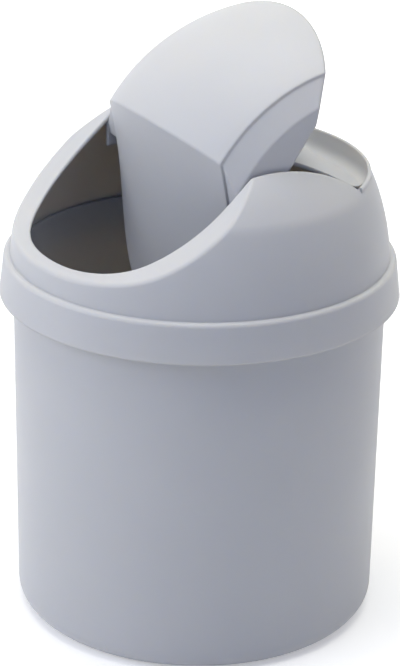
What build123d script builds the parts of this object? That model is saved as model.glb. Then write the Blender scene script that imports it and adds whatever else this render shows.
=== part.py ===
from build123d import *
import os
from math import cos, hypot, radians, sin, sqrt

os.makedirs("parts", exist_ok=True)

# A countertop trash can: a round bucket, a domed hood that drops over its rim, and a swing lid
# between the hood's cheeks. +Z is up, the front is -Y, and the origin is the centre of the base.

# Moulding
wall = 1.8
far = 400.0

# Collar of the hood, which drops over the bucket's rim
shoulder_z = 179.5
collar_bottom_radius = 95.0
collar_taper = 2.2
collar_height = 18.7
shoulder_round = 2.0
seat_gap = 0.2
bead_gap = 0.6

# Bucket
bucket_draft = 1.7
bucket_base_round = 10.0
foot_inset = 12.8
foot_height = 1.2
bead_reach = 1.9
bead_height = 4.0

# Dome of the hood. Every rise is a height above the shoulder.
ledge_width = 3.0
dome_base_round = 0.6
flank_radius = 118.0
flank_centre_rise = -7.7
hood_crown_swell = 10.2
hood_top_rise = 79.5
haunch_round = 16.0

# Scooped band round the mouth, and the inner walls that hang from it
scoop_front_y = -92.0
scoop_front_rise = 10.5
scoop_bend_y = -56.0
scoop_bend_rise = 21.0
scoop_rear_y = -4.0
scoop_rear_rise = 63.7
scoop_edge_round = 2.5
band_width = 8.5
cheek_half_width = 61.3
mouth_corner_ease = 3.3
mouth_rear_y = 8.0
inner_wall_depth = 11.5
inner_wall_rise = 36.0
rim_round = 0.7

# Recess that the lid shuts down into, over a crowned floor that falls to the rear
recess_inset = 3.8
floor_crown = 250.0
floor_middle_y = 33.0
floor_middle_rise = 55.8
floor_slope = 26.6
floor_side_gap = 2.0
floor_blend = 4.5
floor_cover = 1.5
lip_radius = 1.0
lip_rise = 0.2
lip_overhang = 0.2
lip_root = 3.0

# Lid: crown panel, side bands and side flanges
lid_flush = 0.4
lid_sink = 0.6
lid_side_gap = 1.3
lid_rear_gap = 0.6
lid_corner_y = 41.5
band_run = 8.0
band_drop = 25.6
panel_step = 1.0
flange_low_y = 11.0
flange_low_rise = 35.9
flange_rear_y = 45.0
flange_rear_rise = 37.5

# Lid: front face below the crease, and the ribs that rest on the recess's floor
crease_y = -4.0
tip_gap = 3.8
tip_rise = 12.0
front_sag = 5.5
front_arch_radius = 165.0
front_side_gap = 8.1
front_gap = 6.3
front_corner_ease = 1.2
lid_rest_gap = 0.3
rib_half_spacing = 28.0
rib_thickness = 1.4
rib_front_y = 34.0
rib_rear_y = 64.0

# Pivot
pivot_y = -10.7
pivot_rise = 46.2
pin_radius = 2.6
pin_gap = 0.08
pin_reach = 4.2
pin_end_gap = 0.4
ear_radius = 6.0
socket_wall = 2.0
open_angle = 52.3

# Heights worked out from the sizes above
collar_bottom_z = shoulder_z - collar_height
bucket_height = shoulder_z - wall - seat_gap
flank_centre_z = shoulder_z + flank_centre_rise
scoop_front_z = shoulder_z + scoop_front_rise
scoop_bend_z = shoulder_z + scoop_bend_rise
scoop_rear_z = shoulder_z + scoop_rear_rise
inner_wall_bottom_z = shoulder_z + inner_wall_rise
floor_middle_z = shoulder_z + floor_middle_rise
flange_bottom_z = shoulder_z + flange_low_rise
flange_rear_z = shoulder_z + flange_rear_rise
tip_z = shoulder_z + tip_rise
pivot_z = shoulder_z + pivot_rise
hood_crown_top_z = shoulder_z + hood_top_rise
crown_top_z = hood_crown_top_z - lid_sink

# Radii and widths worked out from the sizes above
shoulder_radius = collar_bottom_radius - collar_taper
bucket_rim_radius = shoulder_radius - wall - bead_gap - bead_reach
bucket_base_radius = bucket_rim_radius - bucket_draft
foot_radius = bucket_base_radius - foot_inset
dome_base_radius = shoulder_radius - ledge_width
flank_centre_x = dome_base_radius - sqrt(flank_radius**2 - (shoulder_z - flank_centre_z) ** 2)
hood_crown_radius = dome_base_radius + hood_crown_swell
hood_crown_centre_z = hood_crown_top_z - hood_crown_radius
mouth_radius = dome_base_radius - band_width
mouth_corner_round = cheek_half_width - mouth_corner_ease
recess_radius = mouth_radius - recess_inset
channel_end_y = sqrt(recess_radius**2 - cheek_half_width**2)
lip_ring_radius = recess_radius + lip_radius - lip_overhang
lip_centre_z = hood_crown_centre_z + sqrt((hood_crown_radius + lip_rise) ** 2 - lip_ring_radius**2)
floor_centre_y = floor_middle_y - floor_crown * sin(radians(floor_slope))
floor_centre_z = floor_middle_z - floor_crown * cos(radians(floor_slope))
crown_radius = hood_crown_radius - lid_flush
crown_centre_z = crown_top_z - crown_radius
lid_half_width = cheek_half_width - lid_side_gap
panel_half_width = lid_half_width - band_run
panel_edge = sqrt(crown_radius**2 - panel_half_width**2)
band_edge_radius = crown_radius - band_drop
floor_half_width = panel_half_width - floor_side_gap
lid_rear_radius = recess_radius - lid_rear_gap
lid_rear_height = sqrt(crown_radius**2 - lid_rear_radius**2)
panel_corner_y = sqrt(lid_rear_radius**2 - panel_half_width**2)
front_half_width = cheek_half_width - front_side_gap
front_radius = mouth_radius - front_gap
front_corner_round = front_half_width - front_corner_ease
tip_y = tip_gap - mouth_radius
collar_plane = Plane((0, 0, collar_bottom_z))
above_bucket = Plane((0, 0, bucket_height))


def flank_x(z, inset):
    return flank_centre_x + sqrt((flank_radius - inset) ** 2 - (z - flank_centre_z) ** 2)


def dome_section(inset):
    """Half section of the collar and dome, drawn in from the outside by inset."""
    shoulder = shoulder_z - inset
    top = hood_crown_top_z + wall
    middle = (shoulder + top) / 2
    with BuildSketch() as section:
        with BuildLine():
            Polyline(
                (flank_x(top, inset), top),
                (0, top),
                (0, collar_bottom_z),
                (collar_bottom_radius - inset, collar_bottom_z),
                (shoulder_radius - inset, shoulder),
                (flank_x(shoulder, inset), shoulder),
            )
            ThreePointArc(
                (flank_x(shoulder, inset), shoulder),
                (flank_x(middle, inset), middle),
                (flank_x(top, inset), top),
            )
        make_face()
        with Locations((0, hood_crown_centre_z)):
            Circle(hood_crown_radius - inset, mode=Mode.INTERSECT)
        corners = section.vertices().filter_by_position(Axis.X, 1, far).sort_by(Axis.Y)
        fillet(corners[-1], haunch_round - inset)
        if inset == 0:
            ledge = section.vertices().filter_by_position(Axis.Y, shoulder - 0.1, shoulder + 0.1).sort_by(Axis.X)
            fillet(ledge[-1], shoulder_round)
            fillet(ledge[-2], dome_base_round)
    return Plane.XZ * section.sketch


def beside(plane_y, plane_z):
    """Plane square to X, with its own x along Y and its own y along Z."""
    return Plane((0, plane_y, plane_z), x_dir=(0, 1, 0), z_dir=(1, 0, 0))


def across(plane_y, plane_z):
    """Plane facing front, for sections that are turned about a line along X."""
    return Plane((0, plane_y, plane_z), x_dir=(1, 0, 0), z_dir=(0, -1, 0))


def scoop_side(grow):
    """Side view of what lies above the scooped band, grown downward by grow."""
    with BuildSketch() as side:
        with BuildLine():
            low = TangentArc((scoop_front_y, scoop_front_z), (scoop_bend_y, scoop_bend_z), tangent=(1, 0))
            high = TangentArc((scoop_bend_y, scoop_bend_z), (scoop_rear_y, scoop_rear_z), tangent=low % 1)
            over = Line(high @ 1, high @ 1 + (high % 1) * crown_radius)
            Polyline(
                over @ 1,
                (-far, (over @ 1).Y),
                (-far, scoop_front_z),
                (scoop_front_y, scoop_front_z),
            )
        make_face()
        if grow > 0:
            offset(amount=grow, kind=Kind.INTERSECTION)
    return beside(0, 0) * side.sketch


def mouth_plan(grow):
    """Plan of the mouth between the cheeks, as far back as the recess floor's front edge."""
    width = 2 * (cheek_half_width + grow)
    with BuildSketch() as plan:
        Circle(mouth_radius + grow)
        with Locations((0, mouth_rear_y)):
            Rectangle(width, far, align=(Align.CENTER, Align.MAX), mode=Mode.INTERSECT)
        fillet(plan.vertices().group_by(Axis.Y)[0], mouth_corner_round + grow)
    return plan.sketch


def recess_plan(grow):
    """Plan of the recess, from the mouth back to the step round its rear."""
    width = 2 * (cheek_half_width + grow)
    with BuildSketch() as plan:
        Circle(recess_radius + grow)
        with Locations((0, pivot_y)):
            Rectangle(width, far, align=(Align.CENTER, Align.MIN), mode=Mode.INTERSECT)
    return plan.sketch


def recess_tool(grow):
    """The recess down to its floor, whose rear sweeps up into the step, grown by grow."""
    with BuildPart() as tool:
        extrude(above_bucket * recess_plan(grow), amount=far / 2)
        with Locations((0, floor_centre_y, floor_centre_z)):
            Sphere(floor_crown - grow, mode=Mode.SUBTRACT)
        foot = tool.faces().sort_by(Axis.Z)[0].edges().sort_by(Axis.Y)
        fillet(foot[-1], floor_blend + grow)
    return tool.part


def lid_section(inset):
    """Section of the lid's crown and side bands, to be turned about a line along X."""
    with BuildSketch() as section:
        with BuildLine():
            Polyline(
                (panel_half_width, panel_edge),
                (panel_half_width, panel_edge - panel_step),
                (lid_half_width, band_edge_radius),
                (lid_half_width, 0),
                (-lid_half_width, 0),
                (-lid_half_width, band_edge_radius),
                (-panel_half_width, panel_edge - panel_step),
                (-panel_half_width, panel_edge),
            )
            ThreePointArc((-panel_half_width, panel_edge), (0, crown_radius), (panel_half_width, panel_edge))
        make_face()
        if inset > 0:
            offset(amount=-inset, kind=Kind.INTERSECTION)
    return across(0, crown_centre_z) * section.sketch


# Spool shape that hollows the lid's front face, turned about a line along X above and ahead of it
chord = sqrt((tip_y - crease_y) ** 2 + (crown_top_z - tip_z) ** 2)
spool_radius = (chord**2 / 4 + front_sag**2) / (2 * front_sag)
spool_y = (crease_y + tip_y) / 2 - (spool_radius - front_sag) * (crown_top_z - tip_z) / chord
spool_z = (crown_top_z + tip_z) / 2 + (spool_radius - front_sag) * (crease_y - tip_y) / chord


def spool_tool(grow):
    edge_radius = spool_radius + front_arch_radius - sqrt(front_arch_radius**2 - panel_half_width**2)
    with BuildSketch() as section:
        with BuildLine():
            Polyline(
                (panel_half_width, edge_radius),
                (panel_half_width, edge_radius + panel_step),
                (far, edge_radius + panel_step),
                (far, 1),
                (-far, 1),
                (-far, edge_radius + panel_step),
                (-panel_half_width, edge_radius + panel_step),
                (-panel_half_width, edge_radius),
            )
            ThreePointArc((-panel_half_width, edge_radius), (0, spool_radius), (panel_half_width, edge_radius))
        make_face()
        if grow > 0:
            offset(amount=grow, kind=Kind.INTERSECTION)
            with Locations((0, 0)):
                Rectangle(2 * far, 2 * far, align=(Align.CENTER, Align.MIN), mode=Mode.INTERSECT)
    with BuildPart() as tool:
        revolve(across(spool_y, spool_z) * section.sketch, axis=Axis((0, spool_y, spool_z), (1, 0, 0)))
    return tool.part


# Bucket
with BuildPart() as bucket:
    with BuildSketch(Plane.XZ) as shell:
        with BuildLine():
            Polyline(
                (0, foot_height),
                (foot_radius, foot_height),
                (foot_radius, 0),
                (bucket_base_radius, 0),
                (bucket_rim_radius, bucket_height),
                (0, bucket_height),
                (0, foot_height),
            )
        make_face()
        fillet(shell.vertices().sort_by(Axis.Y).sort_by(Axis.X)[-2], bucket_base_round)
    revolve(axis=Axis.Z)
    with BuildSketch(Plane.XZ) as hollow:
        with BuildLine():
            Polyline(
                (0, foot_height + wall),
                (bucket_base_radius - wall, foot_height + wall),
                (bucket_rim_radius - wall, bucket_height),
                (0, bucket_height),
                (0, foot_height + wall),
            )
        make_face()
        fillet(hollow.vertices().sort_by(Axis.Y).sort_by(Axis.X)[-2], bucket_base_round - wall)
    revolve(axis=Axis.Z, mode=Mode.SUBTRACT)
    with BuildSketch(Plane.XZ) as bead:
        with Locations((bucket_rim_radius - wall / 2, bucket_height)):
            Rectangle(bead_reach + wall / 2, bead_height, align=(Align.MIN, Align.MAX))
        fillet(bead.vertices().group_by(Axis.X)[-1], bead_reach / 2)
    revolve(axis=Axis.Z)
bucket.part.label = "bucket"


def on_dome(point):
    return hypot(point.X, point.Y, point.Z - hood_crown_centre_z) > hood_crown_radius - 1


def on_rim(edge):
    """True for the upper edges of the mouth and the cheeks."""
    middle = edge @ 0.5
    in_front = middle.Y < 0
    above = in_front or on_dome(middle)
    reach = mouth_radius + 0.1 if in_front else recess_radius - 1
    inside = abs(middle.X) < cheek_half_width + 0.1 and hypot(middle.X, middle.Y) < reach
    return inside and above and middle.Z > scoop_front_z - 1 and edge.geom_type != GeomType.LINE


# Hood, solid outside first
with BuildPart() as hood_outside:
    revolve(dome_section(0), axis=Axis.Z)
    extrude(scoop_side(0), amount=far, both=True, mode=Mode.SUBTRACT)
    fillet(hood_outside.edges(Select.LAST).filter_by(GeomType.LINE, reverse=True), scoop_edge_round)
    extrude(collar_plane * recess_plan(0), amount=far / 2, mode=Mode.SUBTRACT)
    extrude(collar_plane * mouth_plan(0), amount=far / 2, mode=Mode.SUBTRACT)
    fillet(hood_outside.edges().filter_by(on_rim), rim_round)

# Rounded lip along the top of the recess's rear step
with BuildPart() as lip:
    with BuildSketch(Plane.XZ):
        with Locations((lip_ring_radius, lip_centre_z)):
            Circle(lip_radius)
            Rectangle(2 * lip_radius, lip_root, align=(Align.CENTER, Align.MAX))
        with Locations((recess_radius, 0)):
            Rectangle(far, far, align=(Align.MIN, Align.MIN), mode=Mode.INTERSECT)
    revolve(axis=Axis.Z)
    for side in (-1, 1):
        lip_end = Vector(side * cheek_half_width, channel_end_y, 0)
        split(bisect_by=Plane((0, 0, 0), z_dir=lip_end.cross(Vector(0, 0, side))), keep=Keep.BOTTOM)

# Floor of the recess, a tongue from the rear step with an open channel on each side of it
with BuildPart() as tongue:
    with BuildSketch(collar_plane):
        with Locations((0, mouth_rear_y)):
            Rectangle(2 * floor_half_width, far, align=(Align.CENTER, Align.MIN))
        Circle(recess_radius + wall / 2, mode=Mode.INTERSECT)
    extrude(amount=far / 2)
    with Locations((0, 0, hood_crown_centre_z)):
        Sphere(hood_crown_radius - floor_cover, mode=Mode.INTERSECT)
    add(recess_tool(0), mode=Mode.SUBTRACT)

# Inner walls that hang from the mouth's edge and line the lid's channels
with BuildPart() as inner_walls:
    with BuildSketch(above_bucket):
        add(mouth_plan(wall))
        with Locations((0, pivot_y)):
            Rectangle(2 * (cheek_half_width + wall), channel_end_y + wall - pivot_y, align=(Align.CENTER, Align.MIN))
            Rectangle(2 * cheek_half_width, far, align=(Align.CENTER, Align.MIN), mode=Mode.SUBTRACT)
        add(mouth_plan(0), mode=Mode.SUBTRACT)
    extrude(amount=far / 4)
    with BuildSketch(beside(0, 0)):
        add(scoop_side(inner_wall_depth))
        with Locations((pivot_y - ear_radius, inner_wall_bottom_z)):
            Rectangle(far, far, align=(Align.MIN, Align.MIN))
    extrude(amount=far, both=True, mode=Mode.INTERSECT)

# Hood's hollow
with BuildPart() as hood_inside:
    revolve(dome_section(wall), axis=Axis.Z)
    extrude(scoop_side(wall), amount=far, both=True, mode=Mode.SUBTRACT)
    add(recess_tool(wall), mode=Mode.SUBTRACT)
    add(inner_walls.part, mode=Mode.SUBTRACT)

with BuildPart() as hood:
    add(hood_outside.part)
    add(lip.part)
    add(tongue.part)
    add(hood_inside.part, mode=Mode.SUBTRACT)
    for side in (-1, 1):
        with BuildSketch(beside(pivot_y, pivot_z).offset(side * cheek_half_width)):
            Circle(pin_radius + pin_gap + socket_wall)
        extrude(amount=side * (pin_reach + pin_end_gap + socket_wall))
        with BuildSketch(beside(pivot_y, pivot_z).offset(side * cheek_half_width)):
            Circle(pin_radius + pin_gap)
        extrude(amount=side * (pin_reach + pin_end_gap), mode=Mode.SUBTRACT)
hood.part.label = "hood"

# What lies beyond the lid's rear edge, which is cut square to its crown
with BuildPart() as beyond_rear:
    with BuildSketch(across(0, crown_centre_z)):
        with BuildLine():
            Polyline(
                (lid_rear_radius / 2, lid_rear_height / 2),
                (lid_rear_radius * 2, lid_rear_height * 2),
                (far, lid_rear_height * 2),
                (far, lid_rear_height / 2),
                (lid_rear_radius / 2, lid_rear_height / 2),
            )
        make_face()
    revolve(axis=Axis.Z)
    for side in (-1, 1):
        inner = Vector(side * panel_half_width, panel_corner_y, lid_rear_height)
        outer = Vector(side * lid_half_width, lid_corner_y, sqrt(band_edge_radius**2 - lid_corner_y**2))
        with BuildSketch(Plane((0, 0, crown_centre_z), z_dir=inner.cross(outer) * side)):
            Rectangle(far, far)
        extrude(amount=far)
    with Locations((0, 0, crown_centre_z)):
        Box(far, far, far, align=(Align.CENTER, Align.MIN, Align.CENTER), mode=Mode.INTERSECT)

# Lid, built shut and then swung to its open rest pose
with BuildSketch() as lid_plan:
    with Locations((0, pivot_y - ear_radius)):
        Rectangle(2 * lid_half_width, far, align=(Align.CENTER, Align.MIN))
with BuildSketch() as lid_front_plan:
    Circle(front_radius)
    with Locations((0, 0)):
        Rectangle(2 * front_half_width, far, align=(Align.CENTER, Align.MAX), mode=Mode.INTERSECT)
    fillet(lid_front_plan.vertices().group_by(Axis.Y)[0], front_corner_round)

with BuildPart() as lid_outside:
    revolve(lid_section(0), axis=Axis((0, 0, crown_centre_z), (1, 0, 0)))
    add(spool_tool(0), mode=Mode.SUBTRACT)
    with BuildSketch(Plane.XY.offset(bucket_height)):
        add(lid_plan.sketch)
        add(lid_front_plan.sketch)
    extrude(amount=far / 2, mode=Mode.INTERSECT)
    add(beyond_rear.part, mode=Mode.SUBTRACT)

with BuildPart() as lid_inside:
    revolve(lid_section(wall), axis=Axis((0, 0, crown_centre_z), (1, 0, 0)))
    add(spool_tool(wall), mode=Mode.SUBTRACT)

with BuildPart() as below_front:
    with BuildSketch(Plane.XY.offset(bucket_height - far / 2)):
        with Locations((0, pivot_y - ear_radius)):
            Rectangle(far, far, align=(Align.CENTER, Align.MAX))
    extrude(amount=far)
    add(spool_tool(wall), mode=Mode.SUBTRACT)

with BuildPart() as lid_shut:
    add(lid_outside.part)
    add(lid_inside.part, mode=Mode.SUBTRACT)
    add(below_front.part, mode=Mode.SUBTRACT)
    with BuildSketch(beside(0, 0)):
        with Locations((pivot_y - ear_radius, pivot_z)):
            Rectangle(flange_rear_y - pivot_y + ear_radius, far / 4, align=(Align.MIN, Align.MAX))
        with BuildLine():
            Polyline(
                (pivot_y - ear_radius, pivot_z),
                (pivot_y, pivot_z - ear_radius),
                (flange_low_y, flange_bottom_z),
                (flange_rear_y, flange_rear_z),
                (flange_rear_y, pivot_z),
                (pivot_y - ear_radius, pivot_z),
            )
        make_face(mode=Mode.SUBTRACT)
        with Locations((pivot_y, pivot_z)):
            Circle(ear_radius, mode=Mode.SUBTRACT)
    extrude(amount=far, both=True, mode=Mode.SUBTRACT)
    for side in (-1, 1):
        with BuildSketch(beside(pivot_y, pivot_z).offset(side * (lid_half_width - wall))):
            Circle(pin_radius)
        extrude(amount=side * (wall + lid_side_gap + pin_reach))

with BuildPart() as rest_ribs:
    with BuildSketch(above_bucket):
        with Locations((-rib_half_spacing, rib_front_y), (rib_half_spacing, rib_front_y)):
            Rectangle(rib_thickness, rib_rear_y - rib_front_y, align=(Align.CENTER, Align.MIN))
    extrude(amount=far / 4)
    with Locations((0, 0, crown_centre_z)):
        Sphere(crown_radius - wall / 2, mode=Mode.INTERSECT)
    with Locations((0, floor_centre_y, floor_centre_z)):
        Sphere(floor_crown + lid_rest_gap, mode=Mode.SUBTRACT)

with BuildPart() as swing_lid:
    with Locations(Location((0, pivot_y, pivot_z), (open_angle, 0, 0)) * Location((0, -pivot_y, -pivot_z))):
        add(lid_shut.part)
        add(rest_ribs.part)
swing_lid.part.label = "swing_lid"

export_step(bucket.part, "parts/bucket.step")
export_step(hood.part, "parts/hood.step")
export_step(swing_lid.part, "parts/swing_lid.step")
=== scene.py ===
from math import radians

import bpy
from mathutils import Matrix, Vector

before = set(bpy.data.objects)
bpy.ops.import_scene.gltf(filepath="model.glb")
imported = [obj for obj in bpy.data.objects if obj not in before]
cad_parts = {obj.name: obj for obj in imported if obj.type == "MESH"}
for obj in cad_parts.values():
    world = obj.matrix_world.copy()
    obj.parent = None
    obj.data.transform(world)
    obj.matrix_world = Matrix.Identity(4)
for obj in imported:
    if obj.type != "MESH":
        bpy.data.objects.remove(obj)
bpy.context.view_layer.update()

# Camera: where the photograph was taken from, in metres and degrees, lens and sensor in millimetres
CAMERA_DISTANCE = 1.2339
CAMERA_HEIGHT = 0.6531
CAMERA_AZIMUTH = 59.5
CAMERA_TURN = -0.030
CAMERA_PITCH = 22.699
CAMERA_ROLL = 1.060
CAMERA_LENS = 150.92
CAMERA_SENSOR = 36.0

# Colours, linear
PLASTIC = (0.590, 0.598, 0.615)
PLASTIC_DEEP = (0.562, 0.571, 0.590)
PAPER = (0.86, 0.86, 0.86)
WHITE = (1, 1, 1)
AIR = (0.26, 0.44, 1.0)

# Plastic: light goes a little way through its thin walls, red furthest, in metres
REFRACTION = 1.49
SEE_THROUGH = 0.35
SEE_THROUGH_REACH = (0.0045, 0.0036, 0.0022)

# Its surface: clouds vary the colour and roughness, ripples and grain are relief, in metres
CLOUDS_PER_METRE = 14
CLOUD_DETAIL = 3
CLOUD_COLOUR_SPAN = (0.35, 0.75)
CLOUD_COLOUR_MOST = 0.6
CLOUD_ROUGHNESS_SPAN = (0.3, 0.7)
CLOUD_ROUGHNESS_STEP = 0.05
RIPPLES_PER_METRE = 30
RIPPLE_DEPTH = 0.00012
RIPPLE_STRENGTH = 0.2
GRAIN_DETAIL = 2
GRAIN_DEPTH = 0.00002
GRAIN_STRENGTH = 0.25
EDGE_SAMPLES = 6

# What differs from piece to piece, sizes in metres
FINISHES = {
    "bucket": dict(name="bucket_plastic", grain_size=0.0005, roughness=0.44, edge_radius=0.0010),
    "hood": dict(name="hood_plastic", grain_size=0.0006, roughness=0.46, edge_radius=0.0014),
    "swing_lid": dict(name="lid_plastic", grain_size=0.0007, roughness=0.48, edge_radius=0.0022),
}

# Paper floor, in metres. Seen by the camera it glows by PAPER_GLOW as far as GLOW_NEAR from the
# origin, and from there more and more, up to 1 at GLOW_FAR.
FLOOR_WIDTH = 8
PAPER_GLOW = 0.38
GLOW_NEAR = 0.3
GLOW_FAR = 1.5

# Light from all sides, and square lamps that all aim at one place, in metres and watts
AIR_STRENGTH = 0.225
AIM = (0, 0, 0.17)
LAMPS = [
    dict(name="overhead", place=(0, 0, 2.0), size=1.6, watts=31.0, colour=(1.0, 0.97, 0.87)),
    dict(name="key", place=(0.01, -1.75, 1.6), size=1.2, watts=9.8, colour=(0.92, 0.92, 1.0)),
    dict(name="left", place=(-0.84, -1.82, 0.6), size=1.2, watts=10.2, colour=(0.99, 1.0, 0.98)),
    dict(name="rear right", place=(-0.6, 1.74, 1.5), size=1.2, watts=5.6, colour=(0.96, 1.0, 0.61)),
    dict(name="rear left", place=(-1.82, -0.32, 1.5), size=1.2, watts=4.2,
         colour=(1.0, 0.79, 0.34)),
    dict(name="right edge", place=(0.66, 1.7, 1.2), size=0.8, watts=2.6, colour=(1.0, 0.64, 0.21)),
]


# Materials

class Nodes:
    """The cleared node tree of a material or world, with short ways to add and join its nodes."""

    def __init__(self, owner):
        owner.use_nodes = True
        self.owner = owner
        self.tree = owner.node_tree
        self.tree.nodes.clear()

    def add(self, kind, **values):
        node = self.tree.nodes.new(kind)
        for socket, value in values.items():
            node.inputs[socket.replace("_", " ")].default_value = value
        return node

    def join(self, output, socket):
        self.tree.links.new(output, socket)


def noise(nodes, place, scale, detail):
    texture = nodes.add("ShaderNodeTexNoise", Scale=scale, Detail=detail)
    nodes.join(place.outputs["Object"], texture.inputs["Vector"])
    return texture.outputs["Fac"]


def spread(nodes, value, low, high, bottom, top):
    span = nodes.add("ShaderNodeMapRange", From_Min=low, From_Max=high, To_Min=bottom, To_Max=top)
    nodes.join(value, span.inputs["Value"])
    return span.outputs["Result"]


def bump(nodes, height, strength, distance, normal):
    relief = nodes.add("ShaderNodeBump", Strength=strength, Distance=distance)
    nodes.join(height, relief.inputs["Height"])
    nodes.join(normal, relief.inputs["Normal"])
    return relief.outputs["Normal"]


def moulded_plastic(name, grain_size, roughness, edge_radius):
    """Satin polypropylene: softened edges, faint clouds, uneven gloss, long ripples, fine grain."""
    nodes = Nodes(bpy.data.materials.new(name))
    output = nodes.add("ShaderNodeOutputMaterial")
    shader = nodes.add("ShaderNodeBsdfPrincipled", IOR=REFRACTION, Subsurface_Weight=SEE_THROUGH,
                       Subsurface_Radius=SEE_THROUGH_REACH, Subsurface_Scale=1)
    nodes.join(shader.outputs["BSDF"], output.inputs["Surface"])
    place = nodes.add("ShaderNodeTexCoord")

    cloud = noise(nodes, place, CLOUDS_PER_METRE, CLOUD_DETAIL)
    depth = spread(nodes, cloud, *CLOUD_COLOUR_SPAN, 0, CLOUD_COLOUR_MOST)
    colour = nodes.add("ShaderNodeMix")
    colour.data_type = "RGBA"
    colour.inputs["A"].default_value = (*PLASTIC, 1)
    colour.inputs["B"].default_value = (*PLASTIC_DEEP, 1)
    nodes.join(depth, colour.inputs["Factor"])
    nodes.join(colour.outputs["Result"], shader.inputs["Base Color"])
    uneven = spread(nodes, cloud, *CLOUD_ROUGHNESS_SPAN,
                    roughness - CLOUD_ROUGHNESS_STEP, roughness + CLOUD_ROUGHNESS_STEP)
    nodes.join(uneven, shader.inputs["Roughness"])

    soft = nodes.add("ShaderNodeBevel", Radius=edge_radius)
    soft.samples = EDGE_SAMPLES
    ripples = noise(nodes, place, RIPPLES_PER_METRE, 0)
    rippled = bump(nodes, ripples, RIPPLE_STRENGTH, RIPPLE_DEPTH, soft.outputs["Normal"])
    grain = noise(nodes, place, 1 / grain_size, GRAIN_DETAIL)
    nodes.join(bump(nodes, grain, GRAIN_STRENGTH, GRAIN_DEPTH, rippled), shader.inputs["Normal"])
    return nodes.owner


def seen_directly(nodes):
    """1 for what the camera sees, also by way of a mirror or glass, 0 for light on the object."""
    path = nodes.add("ShaderNodeLightPath")
    seen = path.outputs["Is Camera Ray"]
    for ray in ("Is Glossy Ray", "Is Transmission Ray"):
        either = nodes.add("ShaderNodeMath")
        either.operation = "MAXIMUM"
        nodes.join(seen, either.inputs[0])
        nodes.join(path.outputs[ray], either.inputs[1])
        seen = either.outputs["Value"]
    return seen


def paper(name):
    """White paper that keeps the object's shadow, and glows a little where the camera sees it."""
    nodes = Nodes(bpy.data.materials.new(name))
    output = nodes.add("ShaderNodeOutputMaterial")
    sheet = nodes.add("ShaderNodeBsdfDiffuse", Color=(*PAPER, 1))
    glow = nodes.add("ShaderNodeEmission")
    both = nodes.add("ShaderNodeAddShader")
    place = nodes.add("ShaderNodeTexCoord")
    away = nodes.add("ShaderNodeVectorMath")
    away.operation = "LENGTH"
    nodes.join(place.outputs["Object"], away.inputs[0])
    brighter = spread(nodes, away.outputs["Value"], GLOW_NEAR, GLOW_FAR, PAPER_GLOW, 1)
    strength = nodes.add("ShaderNodeMath")
    strength.operation = "MULTIPLY"
    nodes.join(brighter, strength.inputs[0])
    nodes.join(seen_directly(nodes), strength.inputs[1])
    nodes.join(strength.outputs["Value"], glow.inputs["Strength"])
    nodes.join(sheet.outputs["BSDF"], both.inputs[0])
    nodes.join(glow.outputs["Emission"], both.inputs[1])
    nodes.join(both.outputs["Shader"], output.inputs["Surface"])
    return nodes.owner


# Stage, lights and camera

def add_floor():
    bpy.ops.mesh.primitive_plane_add(size=FLOOR_WIDTH)
    floor = bpy.context.object
    floor.name = "floor"
    floor.data.materials.append(paper("paper"))


def add_lamp(name, place, size, watts, colour):
    light = bpy.data.lights.new(name, "AREA")
    light.shape = "SQUARE"
    light.size = size
    light.energy = watts
    light.color = colour
    lamp = bpy.data.objects.new(name, light)
    lamp.location = place
    lamp.rotation_euler = (Vector(AIM) - Vector(place)).to_track_quat("-Z", "Y").to_euler()
    bpy.context.collection.objects.link(lamp)


def add_world():
    """Faint blue light from all sides, with plain white behind it for the camera."""
    world = bpy.data.worlds.new("studio")
    bpy.context.scene.world = world
    nodes = Nodes(world)
    output = nodes.add("ShaderNodeOutputWorld")
    air = nodes.add("ShaderNodeBackground", Color=(*AIR, 1), Strength=AIR_STRENGTH)
    white = nodes.add("ShaderNodeBackground", Color=(*WHITE, 1), Strength=1)
    mix = nodes.add("ShaderNodeMixShader")
    nodes.join(seen_directly(nodes), mix.inputs[0])
    nodes.join(air.outputs["Background"], mix.inputs[1])
    nodes.join(white.outputs["Background"], mix.inputs[2])
    nodes.join(mix.outputs["Shader"], output.inputs["Surface"])


def add_camera():
    data = bpy.data.cameras.new("camera")
    data.lens = CAMERA_LENS
    data.sensor_width = CAMERA_SENSOR
    camera = bpy.data.objects.new("camera", data)
    heading = Matrix.Rotation(radians(CAMERA_AZIMUTH), 4, "Z")
    place = heading @ Vector((0, -CAMERA_DISTANCE, CAMERA_HEIGHT))
    look = Matrix.Rotation(radians(CAMERA_AZIMUTH + CAMERA_TURN), 4, "Z")
    look = look @ Matrix.Rotation(radians(90 - CAMERA_PITCH), 4, "X")
    look = look @ Matrix.Rotation(radians(CAMERA_ROLL), 4, "Z")
    camera.matrix_world = Matrix.Translation(place) @ look
    bpy.context.collection.objects.link(camera)
    bpy.context.scene.camera = camera


for piece, finish in FINISHES.items():
    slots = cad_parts[piece].data.materials
    slots.clear()
    slots.append(moulded_plastic(**finish))

add_floor()
add_world()
for lamp in LAMPS:
    add_lamp(**lamp)
add_camera()
bpy.context.scene.view_settings.view_transform = "Standard"
